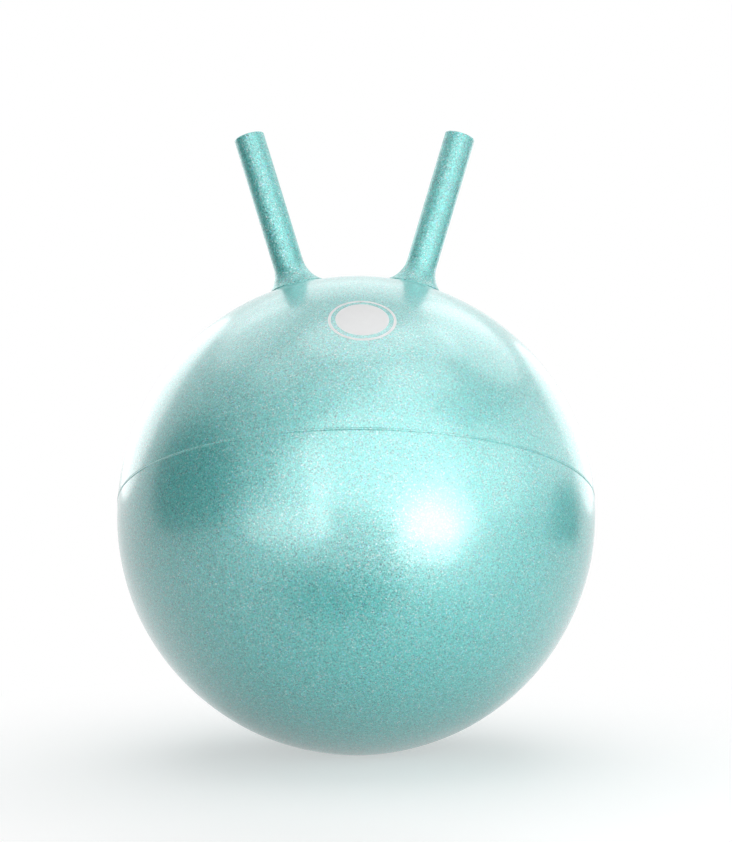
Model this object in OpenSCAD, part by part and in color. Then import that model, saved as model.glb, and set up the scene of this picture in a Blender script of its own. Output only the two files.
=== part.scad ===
// Hopper ball with two horns to hold, in millimetres.
// The origin is where the ball stands on the floor, +Z is up, and the badge faces -Y.
// The horns stand in the X-Z plane. Left and right are as seen from the badge's side.

/* [Ball] */
// Diameter of the blown-up ball
ball_d = 450; // [380:5:600]
// Thickness of the moulded skin
skin_t = 1.2; // [0.8:0.1:2.5]
// Diameter of the patch that the floor flattens
rest_d = 60; // [40:2:90]

/* [Moulding line] */
// Angle by which the line's plane leans back from level
seam_lean = 16.9; // [5:0.1:25]
// Height of the line's plane over the middle of the ball
seam_rise = 2.5; // [1:0.5:15]
// Width of the band that joins the two shells
seam_w = 3; // [2:0.1:6]
// Radius of the bead's round back
bead_r = 0.9; // [0.6:0.05:1.1]
// Height of the bead over the skin
bead_h = 0.35; // [0.2:0.05:0.6]

/* [Horns] */
// Angle at the middle of the ball from its top to a horn's root
horn_angle = 14.85; // [12:0.05:22]
// Angle by which each horn leans outwards from upright
horn_lean = 16.93; // [10:0.01:22]
// Diameter of the grip
horn_d = 29.5; // [24:0.5:36]
// Length from the skin to the tip
horn_l = 154; // [110:1:200]
// Wall of the grip
horn_wall = 2; // [1.2:0.1:4]
// Thickness of the closed tip
tip_t = 3; // [2:0.1:6]
// Rounding of the tip's rim
tip_r = 1.5; // [0.5:0.1:3]

/* [Horn foot] */
// Height of the flared foot over the skin
foot_h = 23.5; // [18:0.5:32]
// Diameter of the flare at the skin
foot_d = 54; // [46:1:62]
// Diameter of the foot's hollow at the skin
foot_hollow_d = 37.5; // [33:0.5:42]
// Gap that lets the foot bend free of the skin
foot_gap = 0.3; // [0.1:0.05:0.5]

/* [Valve] */
// Angle of the valve below level, at the back
valve_drop = 30; // [20:1:45]
// Diameter of the valve's bore
valve_bore_d = 8; // [6:0.5:10]
// Diameter of the flange welded into the skin
valve_flange_d = 26; // [22:1:34]
// Thickness of the flange
valve_flange_t = 3; // [2.6:0.1:5]
// Outside diameter of the sleeve
valve_sleeve_d = 15; // [13:0.5:19]
// Length of the sleeve from the skin inwards
valve_sleeve_l = 15; // [13:0.5:22]

/* [Plug] */
// Diameter of the plug's head
plug_head_d = 14; // [12:0.5:16]
// Thickness of the plug's head
plug_head_t = 1.8; // [1.4:0.1:2.2]
// Rounding of the head's rim
plug_head_r = 0.6; // [0.3:0.1:0.9]
// Length of the stem under the head
plug_stem_l = 12; // [9:0.5:16]
// Clearance round the stem in the bore
plug_clearance = 0.06; // [0.02:0.01:0.1]
// Clearance round the head in its recess
plug_head_clearance = 0.4; // [0.2:0.05:0.8]
// Depth of the grooves between the stem's ribs
plug_groove_depth = 0.6; // [0.3:0.1:1.2]
// Width of each groove, and of each rib between them
plug_groove_w = 1.5; // [1:0.1:2]
// Number of grooves
plug_grooves = 3; // [1:1:3]
// Diameter of the nick for a fingernail in the head's rim
plug_nick_d = 3; // [2:0.5:4]

/* [Badge] */
// Angle of the badge over level, at the front
badge_rise = 47.4; // [35:0.1:55]
// Angle of the badge to the right of the middle
badge_turn = 2.2; // [-5:0.1:5]
// Diameter of the plain disc
badge_d = 46; // [30:1:60]
// Inside diameter of the ring round it
badge_ring_d = 54; // [50:1:70]
// Width of the ring
badge_ring_w = 2.4; // [1:0.1:5]
// Thickness of the printed film
badge_t = 0.25; // [0.1:0.05:0.5]
// Gap between the film and the skin
badge_gap = 0.05; // [0.02:0.01:0.1]

/* [Hidden] */
$fn = 120;
// The ball's circles are cut so fine because its skin is thin
ball_fn = 360;

// How far a cut runs past what it cuts
overrun = 8;
left = -1;
right = 1;

ball_r = ball_d / 2;
// The floor cuts a cap off the ball, so its middle is a little lower than its radius
ball_z = sqrt(ball_r ^ 2 - (rest_d / 2) ^ 2);

// The bead's middle lies under the skin, so that it stands out by bead_h alone
bead_depth = bead_r - bead_h;
bead_x = sqrt((ball_r - bead_depth) ^ 2 - seam_rise ^ 2);

horn_r = horn_d / 2;
horn_hollow_r = horn_r - horn_wall;

// The recess lets the plug's head lie just under the skin
recess_r = plug_head_d / 2 + plug_head_clearance;
recess_depth = ball_r - sqrt(ball_r ^ 2 - recess_r ^ 2) + plug_head_t;
plug_stem_r = valve_bore_d / 2 - plug_clearance;

glitter_teal = [0.38, 0.74, 0.71];
glitter_teal_dark = [0.27, 0.62, 0.6];
print_white = [0.96, 0.97, 0.97];
plug_white = [0.92, 0.93, 0.92];
valve_teal = [0.2, 0.5, 0.49];

// Places on the ball, each with its own +Z pointing out of the skin

module at_ball() translate([0, 0, ball_z]) children();

module at_seam() at_ball() rotate([-seam_lean, 0, 0]) children();

module at_horn(side)
  at_ball() translate([side * ball_r * sin(horn_angle), 0, ball_r * cos(horn_angle)])
    rotate([0, side * horn_lean, 0]) children();

module at_valve()
  at_ball() rotate([-90 - valve_drop, 0, 0]) translate([0, 0, ball_r]) children();

module at_badge()
  at_ball() rotate([0, 0, badge_turn]) rotate([90 - badge_rise, 0, 0]) children();

// The ball, standing flat on a floor at the given height
module standing_ball(r, floor_z)
  difference() {
    at_ball() sphere(r = r, $fn = ball_fn);
    translate([-ball_d, -ball_d, floor_z - ball_d]) cube([2 * ball_d, 2 * ball_d, ball_d]);
  }

module skin()
  difference() {
    standing_ball(ball_r, 0);
    standing_ball(ball_r - skin_t, skin_t);
  }

// All that lies above, or below, the band that joins the shells
module above_seam()
  at_seam() translate([-ball_d, -ball_d, seam_rise + seam_w / 2]) cube(2 * ball_d);

module below_seam()
  at_seam() translate([-ball_d, -ball_d, seam_rise - seam_w / 2 - 2 * ball_d]) cube(2 * ball_d);

// Outline of a flare: upright at the top, spreading to base_r at the skin in one arc, and
// running on below that along the arc's tangent, until the ball cuts it
module flare(top_r, base_r) {
  spread = base_r - top_r;
  arc_r = (foot_h ^ 2 + spread ^ 2) / (2 * spread);
  low_r = base_r + overrun * foot_h / (arc_r - spread);
  difference() {
    polygon([[0, -overrun], [low_r, -overrun], [base_r, 0], [base_r, foot_h], [0, foot_h]]);
    translate([top_r + arc_r, foot_h]) circle(r = arc_r);
  }
}

// The hollow of a horn, from inside the ball to under the tip
module horn_hollow()
  rotate_extrude() {
    flare(horn_hollow_r, foot_hollow_d / 2);
    square([horn_hollow_r, horn_l - tip_t]);
  }

module horn_foot(side)
  color(glitter_teal_dark) difference() {
    at_horn(side) rotate_extrude() flare(horn_r, foot_d / 2);
    at_horn(side) horn_hollow();
    at_ball() sphere(r = ball_r + foot_gap, $fn = ball_fn);
  }

module horn_grip(side)
  color(glitter_teal_dark) at_horn(side) difference() {
    rotate_extrude() {
      translate([0, foot_h]) square([horn_r, horn_l - tip_r - foot_h]);
      translate([0, foot_h]) square([horn_r - tip_r, horn_l - foot_h]);
      translate([horn_r - tip_r, horn_l - tip_r]) circle(r = tip_r);
    }
    horn_hollow();
  }

module upper_shell()
  color(glitter_teal) difference() {
    intersection() {
      skin();
      above_seam();
    }
    for (side = [left, right]) at_horn(side) horn_hollow();
  }

module lower_shell()
  color(glitter_teal) difference() {
    intersection() {
      skin();
      below_seam();
    }
    at_valve() translate([0, 0, -overrun]) cylinder(d = valve_flange_d, h = 2 * overrun);
  }

// The band of skin at the moulding line, with its thin bead
module equator_seam()
  color(glitter_teal_dark) at_seam() rotate_extrude() intersection() {
    difference() {
      union() {
        circle(r = ball_r, $fn = 2 * ball_fn);
        translate([bead_x, seam_rise]) circle(r = bead_r);
      }
      circle(r = ball_r - skin_t, $fn = 2 * ball_fn);
    }
    translate([0, seam_rise - seam_w / 2]) square([ball_d, seam_w]);
  }

module left_horn_foot() horn_foot(left);

module right_horn_foot() horn_foot(right);

module left_horn_grip() horn_grip(left);

module right_horn_grip() horn_grip(right);

// A flange that fills the hole in the skin, and a sleeve that grips the plug's stem
module valve_seat()
  color(valve_teal) difference() {
    union() {
      intersection() {
        at_valve() translate([0, 0, -overrun]) cylinder(d = valve_flange_d, h = 2 * overrun);
        difference() {
          at_ball() sphere(r = ball_r);
          at_ball() sphere(r = ball_r - valve_flange_t);
        }
      }
      at_valve() translate([0, 0, -valve_sleeve_l])
        cylinder(d = valve_sleeve_d, h = valve_sleeve_l - recess_depth);
    }
    at_valve() translate([0, 0, -recess_depth]) cylinder(r = recess_r, h = recess_depth + overrun);
    at_valve() translate([0, 0, -valve_sleeve_l - overrun])
      cylinder(d = valve_bore_d, h = valve_sleeve_l + 2 * overrun);
  }

module valve_plug()
  color(plug_white) at_valve() translate([0, 0, -recess_depth]) difference() {
    rotate_extrude() {
      // Head, with a rounded rim
      square([plug_head_d / 2, plug_head_t - plug_head_r]);
      square([plug_head_d / 2 - plug_head_r, plug_head_t]);
      translate([plug_head_d / 2 - plug_head_r, plug_head_t - plug_head_r]) circle(r = plug_head_r);
      // Stem, with grooves that leave ribs between them
      difference() {
        translate([0, -plug_stem_l]) square([plug_stem_r, plug_stem_l]);
        for (i = [0 : plug_grooves - 1])
          translate([plug_stem_r - plug_groove_depth, -2 * plug_groove_w * (i + 1)])
            square([overrun, plug_groove_w]);
      }
    }
    translate([plug_head_d / 2, 0, -overrun]) cylinder(d = plug_nick_d, h = 2 * overrun);
  }

// Printed film on the skin, between two radii round the badge's middle
module film(inner_d, outer_d)
  color(print_white) at_badge() intersection() {
    difference() {
      sphere(r = ball_r + badge_gap + badge_t);
      sphere(r = ball_r + badge_gap);
    }
    difference() {
      cylinder(d = outer_d, h = ball_d);
      translate([0, 0, -overrun]) cylinder(d = inner_d, h = ball_d + 2 * overrun);
    }
  }

module badge_disc() film(0, badge_d);

module badge_ring() film(badge_ring_d, badge_ring_d + 2 * badge_ring_w);

upper_shell();
lower_shell();
equator_seam();
left_horn_foot();
right_horn_foot();
left_horn_grip();
right_horn_grip();
valve_seat();
valve_plug();
badge_disc();
badge_ring();
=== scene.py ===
"""The looks of the hopper ball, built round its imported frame. Lengths are in metres."""
import math

import bpy
import numpy as np
from mathutils import Matrix, Vector


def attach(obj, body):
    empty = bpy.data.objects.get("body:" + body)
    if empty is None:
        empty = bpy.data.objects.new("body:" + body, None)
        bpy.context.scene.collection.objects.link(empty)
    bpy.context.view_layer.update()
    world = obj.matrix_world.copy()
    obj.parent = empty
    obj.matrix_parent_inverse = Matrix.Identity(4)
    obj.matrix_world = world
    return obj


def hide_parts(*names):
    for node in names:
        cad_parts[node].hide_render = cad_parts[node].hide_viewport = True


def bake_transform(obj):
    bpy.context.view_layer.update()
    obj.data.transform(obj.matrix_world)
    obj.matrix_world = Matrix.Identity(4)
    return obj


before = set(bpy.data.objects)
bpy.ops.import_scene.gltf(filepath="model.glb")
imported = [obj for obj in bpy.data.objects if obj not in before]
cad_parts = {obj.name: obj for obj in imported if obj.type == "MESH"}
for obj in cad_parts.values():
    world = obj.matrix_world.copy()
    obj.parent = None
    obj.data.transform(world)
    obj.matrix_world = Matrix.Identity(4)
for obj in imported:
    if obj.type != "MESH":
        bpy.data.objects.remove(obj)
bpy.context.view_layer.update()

MM = 0.001
FRONT = Vector((0, -1, 0))
UP = Vector((0, 0, 1))

# The ball, as the part's source has it
BALL_R = 225 * MM
REST_R = 30 * MM
SKIN_T = 1.2 * MM
CENTRE = np.array([0, 0, math.sqrt(BALL_R ** 2 - REST_R ** 2)])

# The moulding line
SEAM_LEAN = math.radians(16.9)
SEAM_RISE = 2.5 * MM
SEAM_W = 3 * MM
BEAD_R = 0.9 * MM
BEAD_H = 0.35 * MM
CREASE_AT = 1.0 * MM
CREASE_W = 0.26 * MM
CREASE_DEPTH = 0.3 * MM

# The horns, with heights measured along each horn from the skin
HORN_ANGLE = math.radians(14.85)
HORN_LEAN = math.radians(16.93)
HORN_R = 14.75 * MM
HORN_L = 154 * MM
HORN_WALL = 2 * MM
TIP_T = 3 * MM
TIP_R = 1.5 * MM
FOOT_H = 23.5 * MM
FOOT_R = 27 * MM
SIDES = {"left": -1, "right": 1}

# The valve, at the back
VALVE_DROP = math.radians(30)
VALVE_FLANGE_R = 13 * MM
VALVE_FLANGE_T = 3 * MM
VALVE_RECESS_R = 7.4 * MM
VALVE_SLEEVE_R = 7.5 * MM
VALVE_SLEEVE_L = 15 * MM
VALVE_BORE_R = 4 * MM
PLUG_HEAD_R = 7 * MM
PLUG_HEAD_T = 1.8 * MM
PLUG_HEAD_ROUND = 0.6 * MM
PLUG_STEM_R = 3.94 * MM
PLUG_STEM_L = 12 * MM
PLUG_GROOVES = 3
PLUG_GROOVE_W = 1.5 * MM
PLUG_GROOVE_DEPTH = 0.6 * MM
PLUG_NICK_R = 1.5 * MM
VALVE_RECESS_DEPTH = BALL_R - math.sqrt(BALL_R ** 2 - VALVE_RECESS_R ** 2) + PLUG_HEAD_T

# The badge
BADGE_RISE = math.radians(47.4)
BADGE_TURN = math.radians(2.2)
BADGE_R = 23 * MM
BADGE_RING_R = 27 * MM
BADGE_RING_W = 2.4 * MM
BADGE_T = 0.25 * MM

# How finely the meshes are cut
ROUND = 360
SKIN_ROWS = 118
SEAM_ROWS = 41
HORN_ROUND = 96
FOOT_ROWS = 90
# Over 1, the foot's rows lie closer together near the skin
FOOT_CROWDING = 1.7
FOOT_INNER_ROWS = 10
GRIP_ROWS = 60
GRIP_INNER_ROWS = 30
TIP_ROWS = 9
BADGE_ROUND = 180
BADGE_ROWS = 24
VALVE_ROUND = 144
PLUG_ROUND = 288
CORNER_ROWS = 5


# Places

def frame_on_ball(direction):
    """Matrix of a place on the ball's true surface, with its +Z out of the skin along direction."""
    z = Vector(direction).normalized()
    x = UP.cross(z).normalized()
    turn = Matrix((x, z.cross(x), z)).transposed().to_4x4()
    return Matrix.Translation(Vector(CENTRE) + BALL_R * z) @ turn


def horn_matrix(side):
    """Matrix of a horn's root, with its +Z along the horn."""
    root = Vector(CENTRE) + BALL_R * Vector((side * math.sin(HORN_ANGLE), 0, math.cos(HORN_ANGLE)))
    return Matrix.Translation(root) @ Matrix.Rotation(side * HORN_LEAN, 4, "Y")


def valve_matrix():
    return frame_on_ball((0, math.cos(VALVE_DROP), -math.sin(VALVE_DROP)))


def badge_matrix():
    front = Vector((0, -math.cos(BADGE_RISE), math.sin(BADGE_RISE)))
    return frame_on_ball(Matrix.Rotation(BADGE_TURN, 3, "Z") @ front)


def moved(points, matrix):
    m = np.array(matrix)
    return points @ m[:3, :3].T + m[:3, 3]


# Meshes

def piece(name, points, faces, material, body, sharp_over):
    """A mesh object that rides on a body, if one is given, with edges sharp over an angle in degrees."""
    mesh = bpy.data.meshes.new(name)
    mesh.from_pydata([tuple(p) for p in points], [], [tuple(int(i) for i in f) for f in faces])
    mesh.validate()
    mesh.update()
    mesh.shade_smooth()
    mesh.set_sharp_from_angle(angle=math.radians(sharp_over))
    mesh.materials.append(material)
    made = bpy.data.objects.new(name, mesh)
    bpy.context.scene.collection.objects.link(made)
    if body:
        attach(made, body)
    return made


def ring_faces(rows, columns):
    """Quads between rows of points, each row a closed ring, with outward normals if rows rise."""
    row_start = np.arange(rows - 1)[:, None] * columns
    a = row_start + np.arange(columns)
    b = row_start + (np.arange(columns) + 1) % columns
    return np.stack([a, b, b + columns, a + columns], -1).reshape(-1, 4).tolist()


def turned(profile, columns, closed=False):
    """Points and faces of a profile of (radius, height) turned about +Z, facing out as it rises.

    A radius of 0 at either end is a pole, and closed joins the last ring to the first.
    """
    rings = np.array([p for p in profile if p[0] > 0])
    angle = 2 * math.pi * np.arange(columns) / columns
    radius, height = rings[:, :1], rings[:, 1:]
    grid = np.stack([radius * np.cos(angle), radius * np.sin(angle), height + 0 * angle], -1)
    start = [0, 0, profile[0][1]] if profile[0][0] == 0 else None
    end = [0, 0, profile[-1][1]] if profile[-1][0] == 0 else None
    return joined(list(grid), closed, start, end)


def joined(rings, closed=False, start=None, end=None):
    """Points and faces of rings, each joined to the next, with a fan to a point at either end."""
    columns = len(rings[0])
    points = list(np.concatenate(rings))
    faces = ring_faces(len(rings), columns)
    last = (len(rings) - 1) * columns
    for i in range(columns):
        j = (i + 1) % columns
        if closed:
            faces.append([last + i, last + j, j, i])
        if start is not None:
            faces.append([j, i, len(rings) * columns])
        if end is not None:
            faces.append([last + i, last + j, len(rings) * columns + (start is not None)])
    return np.array(points + [p for p in (start, end) if p is not None]), faces


def thickened(outer, faces, inner):
    """Closes a skin: the outer faces, the inner ones turned over, and a wall at every open edge."""
    edges = {}
    for face in faces:
        for a, b in zip(face, face[1:] + face[:1]):
            if (b, a) in edges:
                del edges[(b, a)]
            else:
                edges[(a, b)] = True
    n = len(outer)
    back = [[i + n for i in reversed(face)] for face in faces]
    walls = [[b, a, a + n, b + n] for a, b in edges]
    return np.concatenate([outer, inner]), faces + back + walls


def used_only(points, faces):
    """The same mesh without the points that no face uses."""
    used = sorted({i for face in faces for i in face})
    number = {old: new for new, old in enumerate(used)}
    return points[used], [[number[i] for i in face] for face in faces]


# The skin's slight unevenness

RIPPLE_SEED = 11
RIPPLE_WAVES = 26
RIPPLE_LENGTHS = (45 * MM, 150 * MM)
RIPPLE_SLOPE = 0.0022
RIPPLE_FADE = (16 * MM, 60 * MM)


def ripple_waves():
    rng = np.random.default_rng(RIPPLE_SEED)
    direction = rng.normal(size=(RIPPLE_WAVES, 3))
    direction /= np.linalg.norm(direction, axis=1)[:, None]
    length = rng.uniform(*RIPPLE_LENGTHS, size=RIPPLE_WAVES)
    return 2 * math.pi * direction / length[:, None], rng.uniform(0, 2 * math.pi, RIPPLE_WAVES)


WAVES, PHASES = ripple_waves()
# The ripple fades out near the valve and the horns
STILL_PLACES = [valve_matrix().translation] + [horn_matrix(s).translation for s in SIDES.values()]


def smoothstep(low, high, value):
    t = np.clip((value - low) / (high - low), 0, 1)
    return t * t * (3 - 2 * t)


def ripple(points):
    """Height of the real skin over the true ball, at points on it."""
    height = np.zeros(len(points))
    for wave, phase in zip(WAVES, PHASES):
        height += RIPPLE_SLOPE / np.linalg.norm(wave) * np.sin(points @ wave + phase)
    for place in STILL_PLACES:
        height *= smoothstep(*RIPPLE_FADE, np.linalg.norm(points - np.array(place), axis=1))
    return height


def rippled(points, sink=0.0):
    """Points on the ball moved out by the ripple, less sink."""
    out = points - CENTRE
    out /= np.linalg.norm(out, axis=1)[:, None]
    return points + out * (ripple(points) - sink)[:, None]


FLAT_ROUNDING = 0.4 * MM


def stood(points, level=0.0):
    """Points pressed flat where the ball would reach below a level, with a rounded edge."""
    z = points[:, 2] - level
    flat = points.copy()
    flat[:, 2] = level + (z + np.sqrt(z ** 2 + FLAT_ROUNDING ** 2)) / 2
    return flat


def from_seam(points):
    """Points given about the moulding line's own axis, in the shared frame."""
    return moved(points, Matrix.Rotation(-SEAM_LEAN, 4, "X")) + CENTRE


# Materials

def new_material(name):
    material = bpy.data.materials.new(name)
    material.use_nodes = True
    return material, material.node_tree.nodes, material.node_tree.links


def worked_out(node, links, operation, inputs):
    """Output of a node that computes, with each input linked if it is a socket and else set."""
    node.operation = operation
    for socket, value in zip(node.inputs, inputs):
        if hasattr(value, "node"):
            links.new(value, socket)
        else:
            socket.default_value = value
    return node.outputs[0]


def math_node(nodes, links, operation, *inputs):
    return worked_out(nodes.new("ShaderNodeMath"), links, operation, inputs)


def vector_node(nodes, links, operation, *inputs):
    return worked_out(nodes.new("ShaderNodeVectorMath"), links, operation, inputs)


def flakes(nodes, links, size):
    """A Voronoi texture whose cells are flakes of about that size; its Color is each flake's own."""
    place = nodes.new("ShaderNodeTexCoord").outputs["Object"]
    cells = nodes.new("ShaderNodeTexVoronoi")
    cells.feature = "F1"
    cells.inputs["Scale"].default_value = 1 / size
    links.new(place, cells.inputs["Vector"])
    return cells


def tilted_normal(nodes, links, colour, amount):
    """The surface's normal, tilted at random by the flake's own colour."""
    normal = nodes.new("ShaderNodeNewGeometry").outputs["Normal"]
    centred = vector_node(nodes, links, "SUBTRACT", colour, (0.5, 0.5, 0.5))
    tilt = vector_node(nodes, links, "MULTIPLY", centred, (amount, amount, amount))
    total = vector_node(nodes, links, "ADD", normal, tilt)
    return vector_node(nodes, links, "NORMALIZE", total)


# Base colours of the flakes, each from its share of them up to the next: most are teal, and a few are
# dark, pale or tinted
FLAKE_COLOURS = [
    (0.00, (0.040, 0.240, 0.250)),
    (0.08, (0.045, 0.450, 0.425)),
    (0.32, (0.075, 0.495, 0.465)),
    (0.62, (0.115, 0.510, 0.480)),
    (0.82, (0.220, 0.470, 0.460)),
    (0.93, (0.120, 0.460, 0.610)),
    (0.97, (0.360, 0.570, 0.570)),
]
SPECK_SHARE = 0.56
SPECK_LIGHT = 0.9
FLAKE_ROUGHNESS = 0.40
FLAKE_IOR = 1.8
FLAKE_SPECULAR = 0.7
COAT_ROUGHNESS = 0.17
COAT_IOR = 1.5


def glitter_material(name, flake_size, tilt, metal, coat):
    """Clear glossy PVC over fine teal flakes, of which metal is the mean share of metallic shine."""
    material, nodes, links = new_material(name)
    shader = nodes["Principled BSDF"]
    cells = flakes(nodes, links, flake_size)
    split = nodes.new("ShaderNodeSeparateColor")
    links.new(cells.outputs["Color"], split.inputs["Color"])
    ramp = nodes.new("ShaderNodeValToRGB")
    ramp.color_ramp.interpolation = "CONSTANT"
    stops = ramp.color_ramp.elements
    while len(stops) < len(FLAKE_COLOURS):
        stops.new(0.5)
    for stop, (share, colour) in zip(stops, FLAKE_COLOURS):
        stop.position = share
        stop.color = (*colour, 1)
    links.new(split.outputs["Red"], ramp.inputs["Fac"])
    specks = flakes(nodes, links, flake_size * SPECK_SHARE)
    grey = nodes.new("ShaderNodeSeparateColor")
    links.new(specks.outputs["Color"], grey.inputs["Color"])
    light = math_node(nodes, links, "MULTIPLY_ADD", grey.outputs["Red"], SPECK_LIGHT, 1 - SPECK_LIGHT / 2)
    mixed = vector_node(nodes, links, "SCALE", ramp.outputs["Color"])
    links.new(light, mixed.node.inputs["Scale"])
    links.new(mixed, shader.inputs["Base Color"])
    metallic = math_node(nodes, links, "MULTIPLY", split.outputs["Green"], 2 * metal)
    links.new(metallic, shader.inputs["Metallic"])
    shader.inputs["Roughness"].default_value = FLAKE_ROUGHNESS
    shader.inputs["IOR"].default_value = FLAKE_IOR
    shader.inputs["Specular IOR Level"].default_value = FLAKE_SPECULAR
    shader.inputs["Coat Weight"].default_value = coat
    shader.inputs["Coat Roughness"].default_value = COAT_ROUGHNESS
    shader.inputs["Coat IOR"].default_value = COAT_IOR
    links.new(tilted_normal(nodes, links, cells.outputs["Color"], tilt), shader.inputs["Normal"])
    return material


MOTTLE = 0.06
MOTTLE_SIZE = 6 * MM
MOTTLE_DETAIL = 4
GRAIN_SIZE = 0.4 * MM
GRAIN_DETAIL = 2
GRAIN_H = 0.02 * MM


def plastic_material(name, colour, roughness):
    """Moulded plastic with a fine grain and a little mottling."""
    material, nodes, links = new_material(name)
    shader = nodes["Principled BSDF"]
    place = nodes.new("ShaderNodeTexCoord").outputs["Object"]
    cloud = nodes.new("ShaderNodeTexNoise")
    cloud.inputs["Scale"].default_value = 1 / MOTTLE_SIZE
    cloud.inputs["Detail"].default_value = MOTTLE_DETAIL
    links.new(place, cloud.inputs["Vector"])
    shade = math_node(nodes, links, "MULTIPLY_ADD", cloud.outputs["Fac"], MOTTLE, 1 - MOTTLE / 2)
    tint = vector_node(nodes, links, "SCALE", colour)
    links.new(shade, tint.node.inputs["Scale"])
    links.new(tint, shader.inputs["Base Color"])
    shader.inputs["Roughness"].default_value = roughness
    fine = nodes.new("ShaderNodeTexNoise")
    fine.inputs["Scale"].default_value = 1 / GRAIN_SIZE
    fine.inputs["Detail"].default_value = GRAIN_DETAIL
    links.new(place, fine.inputs["Vector"])
    raised = nodes.new("ShaderNodeBump")
    raised.inputs["Distance"].default_value = GRAIN_H
    links.new(fine.outputs["Fac"], raised.inputs["Height"])
    links.new(raised.outputs["Normal"], shader.inputs["Normal"])
    return material


GLITTER = glitter_material("teal_glitter_pvc", 0.9 * MM, tilt=0.12, metal=0.04, coat=1.0)
HORN_GLITTER = glitter_material("teal_glitter_horn", 1.1 * MM, tilt=0.3, metal=0.12, coat=0.3)
PRINT_WHITE = plastic_material("white_print", (0.86, 0.87, 0.87), roughness=0.32)
PLUG_WHITE = plastic_material("plug_plastic", (0.80, 0.81, 0.80), roughness=0.38)
VALVE_TEAL = plastic_material("valve_rubber", (0.055, 0.30, 0.29), roughness=0.42)


# The ball's skin

def shell(name, edge_height, pole_side, hole=None):
    """One half of the skin, from its edge at the moulding line to its pole."""
    polar = np.linspace(math.acos(edge_height / BALL_R), 0 if pole_side > 0 else math.pi, SKIN_ROWS)
    profile = [(BALL_R * math.sin(a), BALL_R * math.cos(a)) for a in polar[:-1]]
    points, faces = turned(profile + [(0, pole_side * BALL_R)], ROUND)
    if pole_side < 0:
        faces = [face[::-1] for face in faces]
    points = from_seam(points)
    if hole:
        points, faces = with_hole(points, faces, *hole)
    outer = stood(rippled(points))
    inner = stood(rippled(points, SKIN_T), SKIN_T)
    points, faces = used_only(*thickened(outer, faces, inner))
    return piece(name, points, faces, GLITTER, "ball", sharp_over=40)


def with_hole(points, faces, place, radius):
    """Cuts a round hole: faces inside go, and the points left inside move out to its rim."""
    axis = np.array(place.to_3x3().col[2])
    off = points - np.array(place.translation)
    along = off @ axis
    flat = off - along[:, None] * axis
    distance = np.linalg.norm(flat, axis=1)
    # The hole's axis also leaves the ball on its far side, where nothing is cut
    on_this_side = along > -BALL_R
    inside = on_this_side & (distance < radius)
    faces = [face for face in faces if not all(inside[i] for i in face)]
    moved_out = points.copy()
    rim = np.array(place.translation) + flat[inside] / distance[inside][:, None] * radius
    out = rim - CENTRE
    height = np.sqrt(BALL_R ** 2 - radius ** 2) - out @ axis
    moved_out[inside] = rim + height[:, None] * axis
    return moved_out, faces


def seam_band():
    """The band at the moulding line, with its thin bead between two fine creases."""
    bead_x = math.sqrt((BALL_R - (BEAD_R - BEAD_H)) ** 2 - SEAM_RISE ** 2)
    profile = []
    for share in np.linspace(-1, 1, SEAM_ROWS):
        off = share * SEAM_W / 2
        z = SEAM_RISE + off
        radius = math.sqrt(BALL_R ** 2 - z ** 2)
        if abs(off) < BEAD_R:
            radius = max(radius, bead_x + math.sqrt(BEAD_R ** 2 - off ** 2))
        radius -= CREASE_DEPTH * math.exp(-((abs(off) - CREASE_AT) / CREASE_W) ** 2)
        profile.append((radius, z))
    for share in (1, 0, -1):
        z = SEAM_RISE + share * SEAM_W / 2
        profile.append((math.sqrt((BALL_R - SKIN_T) ** 2 - z ** 2), z))
    points, faces = turned(profile, ROUND, closed=True)
    points = rippled(from_seam(points))
    return piece("seam_band", points, faces, GLITTER, "ball", sharp_over=75)


upper = shell("upper_skin", SEAM_RISE + SEAM_W / 2, 1)
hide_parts("upper_shell")
lower = shell("lower_skin", SEAM_RISE - SEAM_W / 2, -1, (valve_matrix(), VALVE_FLANGE_R))
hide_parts("lower_shell")
band = seam_band()
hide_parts("equator_seam")


# The horns

FILLET_R = 1.4 * MM
FILLET_FALL = 0.4 * MM
FOOT_SINK = 0.45 * MM
FOOT_INNER_END = -4 * MM
# Share of the outside's flare that the inside has
FOOT_INNER_SPREAD = 0.49
# The foot's lower edge is found by halving the range of heights from here up to half the foot's
LOWEST_EDGE = -8 * MM
HALVINGS = 40
TIP_RING_SHARES = (0.8, 0.5, 0.2)
FOOT_WELD_AT = 1.5 * MM
FOOT_WELD_W = 0.45 * MM
FOOT_WELD_DEPTH = 1.1 * MM


def flare_radius(t):
    """Radius of the foot's outside at height t: an arc that is upright at the top."""
    spread = FOOT_R - HORN_R
    arc_r = (FOOT_H ** 2 + spread ** 2) / (2 * spread)
    on_arc = HORN_R + arc_r - np.sqrt(arc_r ** 2 - (FOOT_H - np.clip(t, 0, FOOT_H)) ** 2)
    return on_arc + np.maximum(-t, 0) * FOOT_H / (arc_r - spread)


def height_over_skin(points):
    return np.linalg.norm(points - CENTRE, axis=1) - BALL_R


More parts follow.
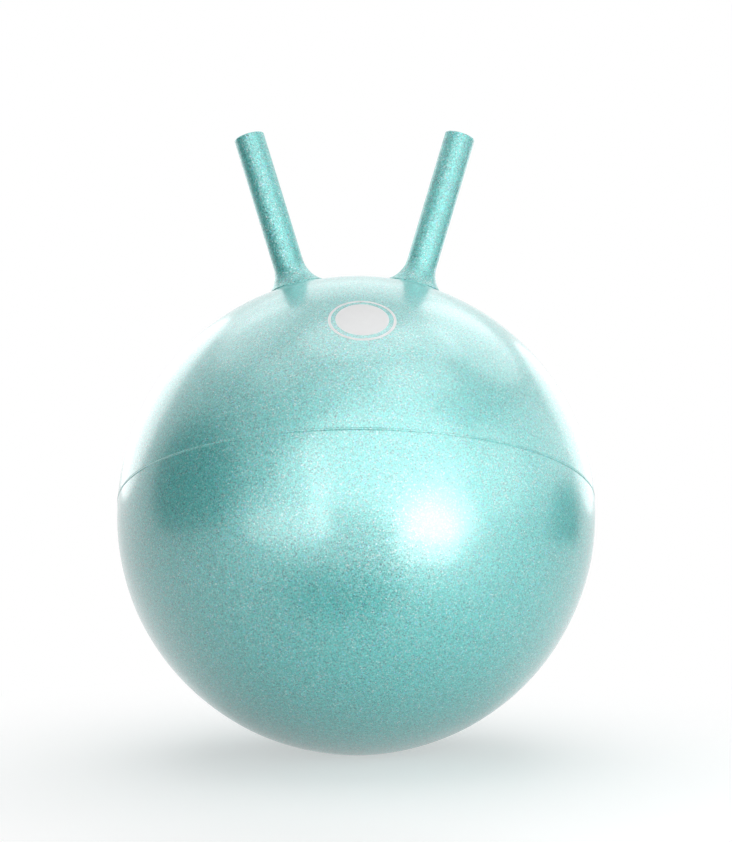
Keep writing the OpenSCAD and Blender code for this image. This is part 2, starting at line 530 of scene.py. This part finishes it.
def foot_ring(matrix, share):
    """One ring of the foot's outside: share 0 lies just under the skin and share 1 at the top."""
    angle = 2 * math.pi * np.arange(HORN_ROUND) / HORN_ROUND
    across = np.stack([np.cos(angle), np.sin(angle), 0 * angle], -1)
    low = np.full(HORN_ROUND, LOWEST_EDGE)
    high = np.full(HORN_ROUND, FOOT_H / 2)
    for _ in range(HALVINGS):
        middle = (low + high) / 2
        ring = across * flare_radius(middle)[:, None] + np.outer(middle, (0, 0, 1))
        under = height_over_skin(moved(ring, matrix)) < -FOOT_SINK
        low = np.where(under, middle, low)
        high = np.where(under, high, middle)
    t = low + (FOOT_H - low) * share
    ring = across * flare_radius(t)[:, None] + np.outer(t, (0, 0, 1))
    height = np.maximum(height_over_skin(moved(ring, matrix)), 0)
    fillet = FILLET_R * np.exp(-height / FILLET_FALL)
    weld_line = FOOT_WELD_DEPTH * np.exp(-((height - FOOT_WELD_AT) / FOOT_WELD_W) ** 2)
    return moved(ring + across * (fillet - weld_line)[:, None], matrix)


def ring_at(matrix, radius, t):
    """A round ring about the horn's axis at height t."""
    angle = 2 * math.pi * np.arange(HORN_ROUND) / HORN_ROUND
    ring = np.stack([radius * np.cos(angle), radius * np.sin(angle), t + 0 * angle], -1)
    return moved(ring, matrix)


def horn_foot(name, side):
    """The flared foot between the ball and the horn's root."""
    matrix = horn_matrix(side)
    shares = np.linspace(0, 1, FOOT_ROWS) ** FOOT_CROWDING
    rings = [foot_ring(matrix, share) for share in shares]
    inner_r = HORN_R - HORN_WALL
    for t in np.linspace(FOOT_H, FOOT_INNER_END, FOOT_INNER_ROWS):
        spread = flare_radius(t) - HORN_R
        rings.append(ring_at(matrix, inner_r + FOOT_INNER_SPREAD * spread, t))
    points, faces = joined(rings, closed=True)
    foot = piece(f"{name}_foot_skin", points, faces, HORN_GLITTER, None, sharp_over=50)
    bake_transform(foot)
    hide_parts(f"{name}_horn_foot")


def horn_grip(name, side):
    """The hollow grip with its closed tip, whose lower end sits at the top of the foot."""
    matrix = horn_matrix(side)
    inner_r = HORN_R - HORN_WALL
    rings = [ring_at(matrix, inner_r, t) for t in np.linspace(HORN_L - TIP_T, FOOT_H, GRIP_INNER_ROWS)]
    rings += [ring_at(matrix, HORN_R, t) for t in np.linspace(FOOT_H, HORN_L - TIP_R, GRIP_ROWS)]
    for a in np.linspace(0, math.pi / 2, TIP_ROWS)[1:]:
        radius = HORN_R - TIP_R + TIP_R * math.cos(a)
        rings.append(ring_at(matrix, radius, HORN_L - TIP_R + TIP_R * math.sin(a)))
    rings += [ring_at(matrix, (HORN_R - TIP_R) * share, HORN_L) for share in TIP_RING_SHARES]
    under_tip, tip = moved(np.array([(0, 0, HORN_L - TIP_T), (0, 0, HORN_L)]), matrix)
    points, faces = joined(rings, start=under_tip, end=tip)
    grip = piece(f"{name}_grip_skin", points, faces, HORN_GLITTER, None, sharp_over=50)
    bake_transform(grip)
    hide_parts(f"{name}_horn_grip")


for name, side in SIDES.items():
    horn_foot(name, side)
    horn_grip(name, side)


# The badge

PRINT_EDGE = 0.12 * MM


def film(name, node, inner_r, outer_r):
    """A printed film on the skin, between two radii round the badge's middle."""
    profile = []
    for r in np.linspace(outer_r, inner_r, BADGE_ROWS):
        profile.append((r, math.sqrt(BALL_R ** 2 - r ** 2) - BALL_R))
    flat, faces = turned(profile, BADGE_ROUND)
    on_skin = rippled(moved(flat, badge_matrix()))
    out = (on_skin - CENTRE) / BALL_R
    top = on_skin + out * (BADGE_T - PRINT_EDGE)
    points, faces = thickened(top, faces, on_skin - out * PRINT_EDGE)
    made = piece(name, points, faces, PRINT_WHITE, "ball", sharp_over=40)
    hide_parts(node)


film("disc_print", "badge_disc", 0, BADGE_R)
film("ring_print", "badge_ring", BADGE_RING_R, BADGE_RING_R + BADGE_RING_W)


# The valve

def over_skin(radius, height):
    """A point of the valve's profile at a height over the ball's round surface."""
    return radius, math.sqrt(BALL_R ** 2 - radius ** 2) - BALL_R + height


CORNER_SHARE = 0.45


def rounded(points, radius):
    """The corners of an open profile, each turned into a small arc that leaves both sides a rest."""
    points = [np.array(p, float) for p in points]
    out = [points[0]]
    for before, corner, after in zip(points, points[1:], points[2:]):
        way_in, way_out = before - corner, after - corner
        room = CORNER_SHARE * min(np.linalg.norm(way_in), np.linalg.norm(way_out))
        reach = min(radius, room)
        a = corner + way_in / np.linalg.norm(way_in) * reach
        b = corner + way_out / np.linalg.norm(way_out) * reach
        for t in np.linspace(0, 1, CORNER_ROWS):
            out.append((1 - t) ** 2 * a + 2 * t * (1 - t) * corner + t ** 2 * b)
    return [tuple(p) for p in out + [points[-1]]]


LIP_R = 14.3 * MM
FLANGE_WELD_R = 13.4 * MM
COLLAR_H = 0.55 * MM
COLLAR_IN_R = 9.0 * MM
GROOVE_R = 11.4 * MM
GROOVE_W = 1.0 * MM
GROOVE_DEPTH = 0.35 * MM
COLLAR_SLOPE = 0.6 * MM
COLLAR_FOOT_H = 0.12 * MM
RECESS_EDGE_H = 0.05 * MM
FLANGE_WELD_SLOPE = 0.5 * MM
FLANGE_WELD_H = 0.16 * MM
LIP_SINK = 0.02 * MM
LIP_SLOPE = 0.4 * MM
LIP_UNDER = 0.2 * MM
FLANGE_GAP = 0.1 * MM
SLEEVE_SLOPE_W = 1.2 * MM
SLEEVE_SLOPE_H = 1.0 * MM
VALVE_CORNER_R = 0.35 * MM


def valve_ring():
    """The flange with its raised collar, the recess for the plug's head, and the sleeve."""
    floor_z = -VALVE_RECESS_DEPTH
    flange_r = VALVE_FLANGE_R - FLANGE_GAP
    inside = [
        (flange_r, -SKIN_T),
        over_skin(flange_r, -VALVE_FLANGE_T),
        over_skin(VALVE_SLEEVE_R + SLEEVE_SLOPE_W, -VALVE_FLANGE_T),
        (VALVE_SLEEVE_R, -VALVE_FLANGE_T - SLEEVE_SLOPE_H),
        (VALVE_SLEEVE_R, -VALVE_SLEEVE_L),
        (VALVE_BORE_R, -VALVE_SLEEVE_L),
        (VALVE_BORE_R, floor_z),
        (VALVE_RECESS_R, floor_z),
        over_skin(VALVE_RECESS_R, RECESS_EDGE_H),
    ]
    outside = [
        over_skin(COLLAR_IN_R - COLLAR_SLOPE, COLLAR_FOOT_H),
        over_skin(COLLAR_IN_R, COLLAR_H),
        over_skin(GROOVE_R - GROOVE_W, COLLAR_H),
        over_skin(GROOVE_R - GROOVE_W / 2, COLLAR_H - GROOVE_DEPTH),
        over_skin(GROOVE_R, COLLAR_H),
        over_skin(FLANGE_WELD_R - FLANGE_WELD_SLOPE, COLLAR_H),
        over_skin(FLANGE_WELD_R, FLANGE_WELD_H),
        over_skin(LIP_R, -LIP_SINK),
        over_skin(LIP_R - LIP_SLOPE, -LIP_UNDER),
        over_skin(flange_r, -LIP_UNDER),
    ]
    profile = rounded(inside + outside, VALVE_CORNER_R)
    points, faces = turned(profile, VALVE_ROUND, closed=True)
    faces = [face[::-1] for face in faces]
    made = piece("valve_ring", moved(points, valve_matrix()), faces, VALVE_TEAL,
                 "ball", sharp_over=40)
    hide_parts("valve_seat")


PLUG_DISH_R = 5.2 * MM
PLUG_DISH_DEPTH = 0.35 * MM
PLUG_GATE_R = 0.9 * MM
PLUG_GATE_H = 0.15 * MM
PLUG_GATE_FLARE = (2, 1.3)
PLUG_DISH_SLOPE = 0.9 * MM
PLUG_END_W = 0.5 * MM
PLUG_END_H = 0.8 * MM
PLUG_STEM_ROUND = 0.25 * MM
# Points nearer the axis than this have no direction of their own
AXIS_R = MM / 100


def plug_stopper():
    """The stopper: a dished head with a nick for a fingernail, and a ribbed stem."""
    stem = [(0, -PLUG_STEM_L), (PLUG_STEM_R - PLUG_END_W, -PLUG_STEM_L),
            (PLUG_STEM_R, -PLUG_STEM_L + PLUG_END_H)]
    for i in reversed(range(PLUG_GROOVES)):
        low = -2 * PLUG_GROOVE_W * (i + 1)
        high = low + PLUG_GROOVE_W
        deep = PLUG_STEM_R - PLUG_GROOVE_DEPTH
        stem += [(PLUG_STEM_R, low), (deep, low), (deep, high), (PLUG_STEM_R, high)]
    dish_floor = PLUG_HEAD_T - PLUG_DISH_DEPTH
    head = [(PLUG_STEM_R, 0), (PLUG_HEAD_R, 0), (PLUG_HEAD_R, PLUG_HEAD_T),
            (PLUG_DISH_R, PLUG_HEAD_T), (PLUG_DISH_R - PLUG_DISH_SLOPE, dish_floor)]
    wide, narrow = PLUG_GATE_FLARE
    gate = [(wide * PLUG_GATE_R, dish_floor), (narrow * PLUG_GATE_R, dish_floor + 0.5 * PLUG_GATE_H),
            (PLUG_GATE_R, dish_floor + PLUG_GATE_H), (0, dish_floor + PLUG_GATE_H)]
    profile = rounded(stem, PLUG_STEM_ROUND) + rounded(head, PLUG_HEAD_ROUND) + gate
    points, faces = turned(profile, PLUG_ROUND)
    x, y = points[:, 0], points[:, 1]
    radius = np.hypot(x, y)
    divisor = np.maximum(radius, AXIS_R)
    sine, cosine = y / divisor, x / divisor
    reach = np.full(len(points), PLUG_HEAD_R)
    nick = (cosine > 0) & (abs(sine) < PLUG_NICK_R / PLUG_HEAD_R)
    reach[nick] = PLUG_HEAD_R * cosine[nick] - np.sqrt(
        PLUG_NICK_R ** 2 - (PLUG_HEAD_R * sine[nick]) ** 2)
    shrink = np.minimum(radius, reach) / divisor
    points[:, 0], points[:, 1] = x * shrink, y * shrink
    points[:, 2] -= VALVE_RECESS_DEPTH
    made = piece("plug_stopper", moved(points, valve_matrix()), faces, PLUG_WHITE,
                 "valve_plug", sharp_over=35)
    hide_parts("valve_plug")


valve_ring()
plug_stopper()


# Stage, light and camera

WORLD_FILL = 0.30
FLOOR_COLOUR = 0.5
FLOOR_LIFT = 0.5
FLOOR_SIZE = 14
FLOOR_FADE = (0.3, 0.62)
FLOOR_GAP = 0.1 * MM
FLOOR_SPECULAR = 0.1
PAPER_ROUGHNESS = 0.9
CARD_COLOUR = (0.02, 0.03, 0.03)
CARD_FADE = (0.28, 0.5)


def world_light():
    """White for the camera and in reflections, and a softer fill for the rest."""
    world = bpy.data.worlds.new("studio")
    bpy.context.scene.world = world
    world.use_nodes = True
    nodes, links = world.node_tree.nodes, world.node_tree.links
    nodes.clear()
    shown = nodes.new("ShaderNodeBackground")
    shown.inputs["Color"].default_value = (1, 1, 1, 1)
    shown.inputs["Strength"].default_value = 1
    fill = nodes.new("ShaderNodeBackground")
    fill.inputs["Color"].default_value = (1, 1, 1, 1)
    fill.inputs["Strength"].default_value = WORLD_FILL
    mix = nodes.new("ShaderNodeMixShader")
    links.new(seen_rays(nodes, links), mix.inputs["Fac"])
    links.new(fill.outputs[0], mix.inputs[1])
    links.new(shown.outputs[0], mix.inputs[2])
    links.new(mix.outputs[0], nodes.new("ShaderNodeOutputWorld").inputs["Surface"])


def seen_rays(nodes, links):
    """1 for rays from the camera, a reflection or a clear material, else 0."""
    path = nodes.new("ShaderNodeLightPath")
    first = math_node(nodes, links, "MAXIMUM",
                      path.outputs["Is Camera Ray"], path.outputs["Is Glossy Ray"])
    return math_node(nodes, links, "MAXIMUM", first, path.outputs["Is Transmission Ray"])


def fade_outwards(nodes, links, limits):
    """0 near the object's own middle and 1 far from it, with a soft step between two distances."""
    place = nodes.new("ShaderNodeTexCoord").outputs["Object"]
    distance = nodes.new("ShaderNodeVectorMath")
    distance.operation = "LENGTH"
    links.new(place, distance.inputs[0])
    fade = nodes.new("ShaderNodeMapRange")
    fade.interpolation_type = "SMOOTHSTEP"
    fade.inputs["From Min"].default_value, fade.inputs["From Max"].default_value = limits
    links.new(distance.outputs["Value"], fade.inputs["Value"])
    return fade.outputs["Result"]


def floor():
    """A pale floor that keeps shadows near the ball and turns into the white backdrop further out."""
    material, nodes, links = new_material("floor_paper")
    paper = nodes["Principled BSDF"]
    paper.inputs["Base Color"].default_value = (FLOOR_COLOUR, FLOOR_COLOUR, FLOOR_COLOUR, 1)
    paper.inputs["Roughness"].default_value = PAPER_ROUGHNESS
    paper.inputs["Specular IOR Level"].default_value = FLOOR_SPECULAR
    paper.inputs["Emission Color"].default_value = (1, 1, 1, 1)
    seen = seen_rays(nodes, links)
    links.new(math_node(nodes, links, "MULTIPLY", seen, FLOOR_LIFT), paper.inputs["Emission Strength"])
    backdrop = nodes.new("ShaderNodeEmission")
    fade = fade_outwards(nodes, links, FLOOR_FADE)
    mix = nodes.new("ShaderNodeMixShader")
    links.new(math_node(nodes, links, "MULTIPLY", fade, seen), mix.inputs["Fac"])
    links.new(paper.outputs[0], mix.inputs[1])
    links.new(backdrop.outputs[0], mix.inputs[2])
    links.new(mix.outputs[0], nodes["Material Output"].inputs["Surface"])
    bpy.ops.mesh.primitive_plane_add(size=FLOOR_SIZE, location=(0, 0, -FLOOR_GAP))
    made = bpy.context.object
    made.name = "floor"
    made.data.materials.append(material)


def dark_card(name, size, place, turn):
    """A dark oval card with a soft edge beside the ball, which only reflections see."""
    material, nodes, links = new_material(name)
    dark = nodes["Principled BSDF"]
    dark.inputs["Base Color"].default_value = (*CARD_COLOUR, 1)
    dark.inputs["Roughness"].default_value = PAPER_ROUGHNESS
    fade = fade_outwards(nodes, links, CARD_FADE)
    mix = nodes.new("ShaderNodeMixShader")
    links.new(fade, mix.inputs["Fac"])
    links.new(dark.outputs[0], mix.inputs[1])
    links.new(nodes.new("ShaderNodeBsdfTransparent").outputs[0], mix.inputs[2])
    links.new(mix.outputs[0], nodes["Material Output"].inputs["Surface"])
    bpy.ops.mesh.primitive_plane_add(size=1, location=place, rotation=turn)
    made = bpy.context.object
    made.name = name
    made.scale = (*size, 1)
    made.visible_camera = made.visible_diffuse = made.visible_shadow = False
    made.data.materials.append(material)


def standing_card(name, azimuth, elevation, size, distance):
    """A card that faces the ball."""
    place = from_ball(azimuth, elevation, distance)
    dark_card(name, size, place, (place - Vector(CENTRE)).to_track_quat("Z", "Y").to_euler())


def lying_card(name, azimuth, size, distance):
    """A card just over the floor, at a distance from the point where the ball stands."""
    a = math.radians(azimuth)
    dark_card(name, size, (distance * math.sin(a), -distance * math.cos(a), MM), (0, 0, a))


def from_ball(azimuth, elevation, distance):
    """A point round the ball. Azimuth 0 is the camera's side and 90 its right."""
    a, e = math.radians(azimuth), math.radians(elevation)
    way = Vector((math.sin(a) * math.cos(e), -math.cos(a) * math.cos(e), math.sin(e)))
    return Vector(CENTRE) + distance * way


# Softboxes that light the colour, but show in no reflection: azimuth and elevation in degrees, width
# and height, distance from the ball's middle, radiance
COLOUR_LAMPS = {
    "front_soft": (34, 2, (0.5, 0.3), 0.7, 1.5),
    "low_strip": (20, -13, (1.3, 0.12), 0.8, 6.2),
    "overhead": (0, 85, (2.2, 1.8), 2.0, 1.6),
    "rear_soft": (180, 45, (2.0, 1.4), 2.0, 2.0),
}
# Softboxes that only reflections see, in the same form
GLOSS_LAMPS = {
    "front_bank": (15, 24, (2.0, 1.3), 1.4, 2.2),
    "left_bank": (-22, 15, (0.6, 0.8), 1.4, 1.5),
    "right_front": (66, 15, (0.6, 0.9), 1.4, 1.5),
    "key": (33, -2, (0.80, 0.48), 1.2, 3.1),
    "key_low": (31, -4, (0.36, 0.20), 0.8, 2.6),
    "key_foot": (28, -11, (0.30, 0.30), 0.7, 3.4),
    "left_low": (-28, -5, (0.60, 0.24), 0.9, 2.4),
    "left_strip": (-14, 1, (0.16, 0.36), 1.0, 3.2),
    "high_middle": (8, 58, (1.3, 0.5), 1.6, 0.8),
    "high_right": (45, 56, (0.9, 0.6), 1.6, 1.6),
    "high_left": (-62, 58, (0.7, 0.6), 1.7, 0.9),
    "high_side": (98, 66, (0.7, 0.6), 1.7, 1.6),
    "left_far": (-124, 56, (1.3, 0.8), 1.9, 0.9),
    "top": (0, 84, (1.2, 0.9), 1.8, 1.9),
    "right_bank": (95, 18, (1.3, 1.0), 1.7, 0.6),
    "right_far": (125, 50, (1.3, 0.9), 1.8, 1.3),
    "back_high": (180, 50, (2.4, 0.9), 2.0, 0.6),
    "back_left": (-140, 20, (1.6, 1.4), 2.2, 1.5),
    "back_right": (140, 15, (1.4, 1.2), 2.2, 1.3),
}


def softbox(name, azimuth, elevation, size, distance, radiance, for_gloss):
    """A lamp that faces the ball and that the camera doesn't see: an oval for gloss, else a rectangle."""
    data = bpy.data.lights.new(name, "AREA")
    data.shape = "ELLIPSE" if for_gloss else "RECTANGLE"
    data.size, data.size_y = size
    area = size[0] * size[1] * (math.pi / 4 if for_gloss else 1)
    data.energy = radiance * math.pi * area
    lamp = bpy.data.objects.new(name, data)
    bpy.context.scene.collection.objects.link(lamp)
    lamp.location = from_ball(azimuth, elevation, distance)
    lamp.rotation_euler = (lamp.location - Vector(CENTRE)).to_track_quat("Z", "Y").to_euler()
    lamp.visible_camera = False
    lamp.visible_diffuse = not for_gloss
    lamp.visible_glossy = for_gloss


CAMERA_DISTANCE = 6 * BALL_R
# Blender's sensor width, in millimetres
SENSOR = 36
# The photograph's frame, the focal length and the ball's middle in that frame, in pixels
PICTURE_PX = (732, 842)
FOCAL_PX = 1411.6
BALL_AT_PX = (356.35, 512.9)
# The photograph's turn about the line of sight
PICTURE_TURN = math.radians(0.3)


def camera():
    """A camera at the height of the ball's middle, turned so that the ball lies as in the photograph."""
    data = bpy.data.cameras.new("camera")
    data.sensor_width = SENSOR
    data.lens = SENSOR * FOCAL_PX / max(PICTURE_PX)
    made = bpy.data.objects.new("camera", data)
    bpy.context.scene.collection.objects.link(made)
    right = BALL_AT_PX[0] - PICTURE_PX[0] / 2
    up = PICTURE_PX[1] / 2 - BALL_AT_PX[1]
    c, s = math.cos(PICTURE_TURN), math.sin(PICTURE_TURN)
    before_turn = (right * c + up * s, up * c - right * s)
    yaw = math.atan(before_turn[0] / FOCAL_PX)
    pitch = -math.atan(before_turn[1] / math.hypot(FOCAL_PX, before_turn[0]))
    turn = (Matrix.Rotation(yaw, 4, "Z") @ Matrix.Rotation(math.pi / 2 + pitch, 4, "X")
            @ Matrix.Rotation(-PICTURE_TURN, 4, "Z"))
    made.matrix_world = Matrix.Translation(Vector(CENTRE) + CAMERA_DISTANCE * FRONT) @ turn
    bpy.context.scene.camera = made


world_light()
floor()
standing_card("left_card", -80, 10, (3.0, 2.6), 2.5)
standing_card("right_card", 108, -3, (1.0, 0.8), 1.6)
lying_card("front_card", -6, (0.50, 0.44), 0.50)
for name, values in COLOUR_LAMPS.items():
    softbox(name, *values, for_gloss=False)
for name, values in GLOSS_LAMPS.items():
    softbox(f"{name}_shine", *values, for_gloss=True)
camera()
bpy.context.scene.view_settings.view_transform = "Standard"
